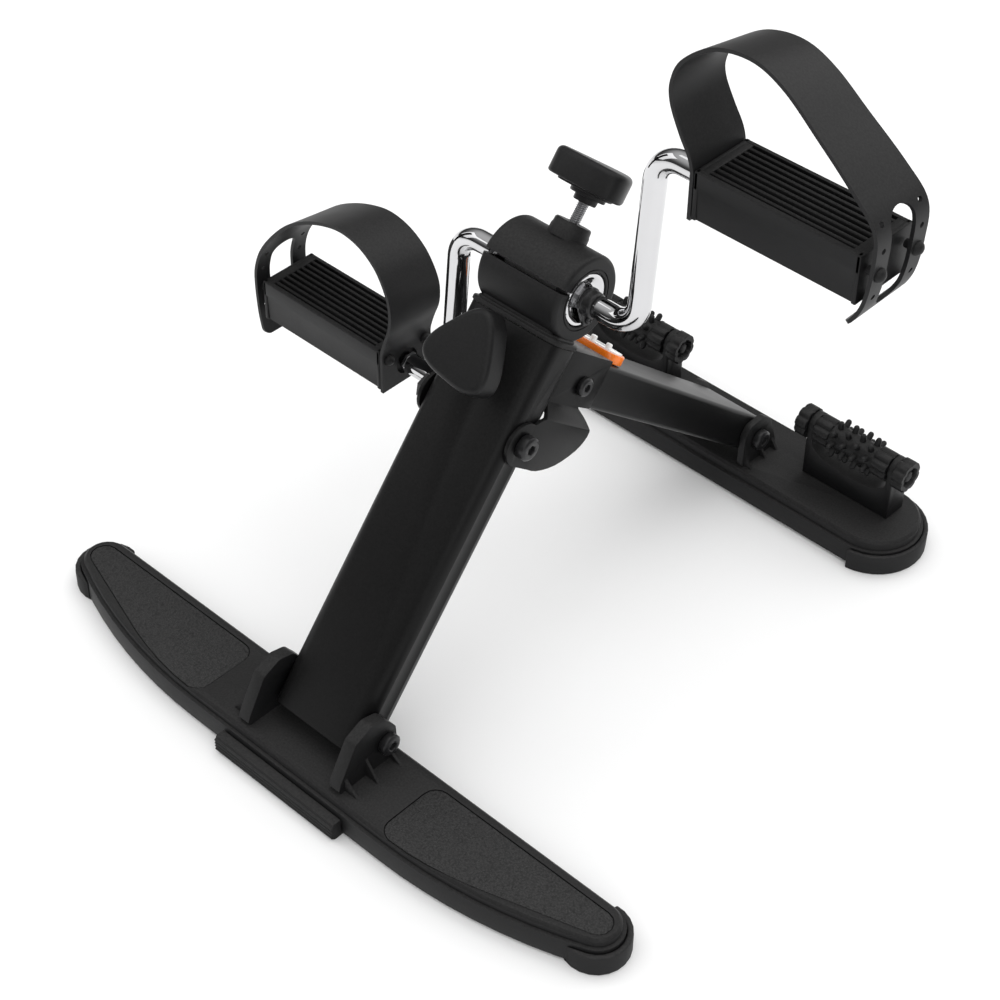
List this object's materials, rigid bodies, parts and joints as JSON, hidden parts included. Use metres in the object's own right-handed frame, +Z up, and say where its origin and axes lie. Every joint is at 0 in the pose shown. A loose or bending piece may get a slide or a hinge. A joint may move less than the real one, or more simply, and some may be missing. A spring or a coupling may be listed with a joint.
{
  "type": "pedal exerciser",
  "caption": "Folding floor pedal exerciser: leaning post with cranks, strapped pedals and a friction brake, on two hinged feet with massage rollers.",
  "frame": {"origin": "on the floor under the middle of the stand", "axes": "+Z up, +X to the right along the crank axis, -Y to the curved front foot, +Y to the rear foot with the massage rollers"},
  "size_m": [0.4022, 0.4018, 0.4063],
  "materials": {
    "black_paint": "satin black powder coat",
    "black_plastic": "fine matt moulding",
    "textured_pad": "coarse grained anti-slip",
    "rubber": "matt rubber",
    "chrome": "polished",
    "steel": "plain turned steel",
    "black_steel": "black oxide",
    "orange_plastic": "glossy orange",
    "white_plastic": "glossy white",
    "screen": "dark display window"
  },
  "bodies": {
    "post": {"post_tube": "black_paint", "foot_plug": "black_plastic", "drum_lower_shell": "black_plastic", "drum_upper_shell": "black_plastic", "bearing_left": "chrome", "bearing_right": "chrome", "tension_nut": "steel", "pivot_bolt": "black_steel", "pivot_nut": "black_steel"},
    "front_foot": {"front_base": "black_plastic", "front_pad_left": "textured_pad", "front_pad_right": "textured_pad", "front_cap_left": "rubber", "front_cap_right": "rubber", "front_foot_strip": "rubber", "foot_bolt": "black_steel", "foot_nut": "black_steel"},
    "arm": {"fold_bracket": "black_paint", "fold_arm": "black_paint", "lock_nut_plate": "steel", "bracket_screw_left": "black_steel", "bracket_screw_right": "black_steel", "counter_case": "orange_plastic", "counter_face": "white_plastic", "counter_screen": "screen"},
    "rear_foot": {"rear_base": "black_plastic", "rear_cap_left": "rubber", "rear_cap_right": "rubber", "rear_bolt": "black_steel", "rear_nut": "black_steel", "cradle_left": "black_plastic", "cradle_right": "black_plastic", "roller_axle_left": "steel", "roller_axle_right": "steel"},
    "roller_left": {"massage_roller_left": "black_plastic"},
    "roller_right": {"massage_roller_right": "black_plastic"},
    "wheel_left_inner": {"massage_wheel_left_inner": "black_plastic"},
    "wheel_left_outer": {"massage_wheel_left_outer": "black_plastic"},
    "wheel_right_inner": {"massage_wheel_right_inner": "black_plastic"},
    "wheel_right_outer": {"massage_wheel_right_outer": "black_plastic"},
    "crank": {"crank_shaft": "steel", "brake_drum": "steel", "crank_left": "chrome", "crank_right": "chrome", "hub_clamp_left": "black_steel", "hub_clamp_right": "black_steel", "clamp_bolt_left": "black_steel", "clamp_bolt_right": "black_steel"},
    "pedal_left": {"pedal_left": "black_plastic", "strap_left": "rubber"},
    "pedal_right": {"pedal_right": "black_plastic", "strap_right": "rubber"},
    "brake_slide": {"brake_shoe": "rubber"},
    "tension_turn": {"tension_knob": "black_plastic", "tension_screw": "steel"},
    "lock_slide": {"lock_washer": "steel"},
    "lock_turn": {"lock_knob": "black_plastic", "lock_screw": "steel"},
    "button_left": {"counter_button_left": "white_plastic"},
    "button_right": {"counter_button_right": "white_plastic"}
  },
  "joints": [
    {"name": "front_foot_hinge", "type": "hinge", "parent": "post", "child": "front_foot", "pos_m": [0, -0.15506, 0.03348], "axis": [-1, 0, 0], "range_deg": [-25, 35]},
    {"name": "arm_fold", "type": "hinge", "parent": "post", "child": "arm", "pos_m": [0, -0.04981, 0.16275], "axis": [-1, 0, 0], "range_deg": [0, 85]},
    {"name": "rear_foot_hinge", "type": "hinge", "parent": "arm", "child": "rear_foot", "pos_m": [0, 0.15979, 0.03531], "axis": [-1, 0, 0], "range_deg": [-30, 40]},
    {"name": "crank_spin", "type": "hinge", "parent": "post", "child": "crank", "pos_m": [0, -0.00056, 0.22324], "axis": [1, 0, 0], "continuous": true},
    {"name": "pedal_left_spin", "type": "hinge", "parent": "crank", "child": "pedal_left", "pos_m": [0, -0.00862, 0.12417], "axis": [1, 0, 0], "continuous": true},
    {"name": "pedal_right_spin", "type": "hinge", "parent": "crank", "child": "pedal_right", "pos_m": [0, 0.00749, 0.32231], "axis": [1, 0, 0], "continuous": true},
    {"name": "roller_left_spin", "type": "hinge", "parent": "rear_foot", "child": "roller_left", "pos_m": [-0.0826, 0.1755, 0.0525], "axis": [1, 0, 0], "continuous": true},
    {"name": "wheel_left_inner_spin", "type": "hinge", "parent": "rear_foot", "child": "wheel_left_inner", "pos_m": [-0.0485, 0.1755, 0.0525], "axis": [1, 0, 0], "continuous": true},
    {"name": "wheel_left_outer_spin", "type": "hinge", "parent": "rear_foot", "child": "wheel_left_outer", "pos_m": [-0.1167, 0.1755, 0.0525], "axis": [1, 0, 0], "continuous": true},
    {"name": "roller_right_spin", "type": "hinge", "parent": "rear_foot", "child": "roller_right", "pos_m": [0.0826, 0.1755, 0.0525], "axis": [1, 0, 0], "continuous": true},
    {"name": "wheel_right_inner_spin", "type": "hinge", "parent": "rear_foot", "child": "wheel_right_inner", "pos_m": [0.0485, 0.1755, 0.0525], "axis": [1, 0, 0], "continuous": true},
    {"name": "wheel_right_outer_spin", "type": "hinge", "parent": "rear_foot", "child": "wheel_right_outer", "pos_m": [0.1167, 0.1755, 0.0525], "axis": [1, 0, 0], "continuous": true},
    {"name": "brake_press", "type": "slide", "parent": "post", "child": "brake_slide", "axis": [0, 0.6314, 0.7755], "range_m": [0, 0.0015]},
    {"name": "tension_knob_turn", "type": "hinge", "parent": "brake_slide", "child": "tension_turn", "pos_m": [0, -0.00056, 0.22324], "axis": [0, 0.6314, 0.7755], "range_deg": [0, 540]},
    {"name": "lock_press", "type": "slide", "parent": "post", "child": "lock_slide", "axis": [0, -0.7755, 0.6314], "range_m": [-0.006, 0]},
    {"name": "lock_knob_turn", "type": "hinge", "parent": "lock_slide", "child": "lock_turn", "pos_m": [0, -0.03024, 0.18679], "axis": [0, -0.7755, 0.6314], "range_deg": [-2160, 0]},
    {"name": "button_left_press", "type": "slide", "parent": "arm", "child": "button_left", "axis": [0, -0.6314, -0.7755], "range_m": [0, 0.001], "stiffness_N_per_m": 300},
    {"name": "button_right_press", "type": "slide", "parent": "arm", "child": "button_right", "axis": [0, -0.6314, -0.7755], "range_m": [0, 0.001], "stiffness_N_per_m": 300}
  ],
  "couplings": [
    {"joint": "brake_press", "follows": "tension_knob_turn", "m_per_rad": 0.00015915},
    {"joint": "lock_press", "follows": "lock_knob_turn", "m_per_rad": 0.00015915}
  ]
}
